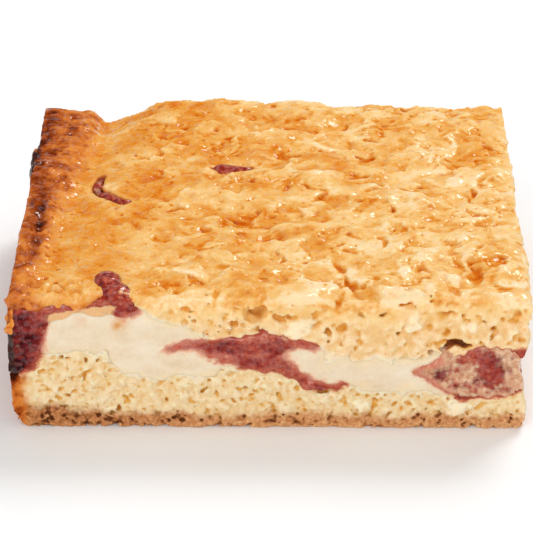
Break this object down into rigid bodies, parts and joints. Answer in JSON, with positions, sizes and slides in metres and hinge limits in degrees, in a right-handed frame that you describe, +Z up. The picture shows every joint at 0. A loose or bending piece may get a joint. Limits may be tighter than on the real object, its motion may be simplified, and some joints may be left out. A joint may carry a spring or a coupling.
{
  "type": "filled blondie square",
  "caption": "Square of tray-baked blondie cake with a flaky golden crust, filled with a seam of cream cheese and berry jam that shows on the cut sides.",
  "frame": {"origin": "middle of the flat underside", "axes": "+X to the right along the front cut, +Y from the front cut to the back, +Z up through the crust"},
  "size_m": [0.082, 0.077, 0.0261],
  "materials": {
    "crumb": "matte, porous",
    "crust": "matte, flaky, slightly buttery",
    "cream": "smooth, soft satin",
    "jam": "glossy, translucent"
  },
  "bodies": {
    "root": {"base_cake": "crumb", "top_cake": "crust", "cream_left": "cream", "cream_right": "cream", "jam_left": "jam", "jam_middle": "jam", "jam_right": "jam", "jam_spot": "jam", "jam_crack": "jam"}
  },
  "joints": []
}
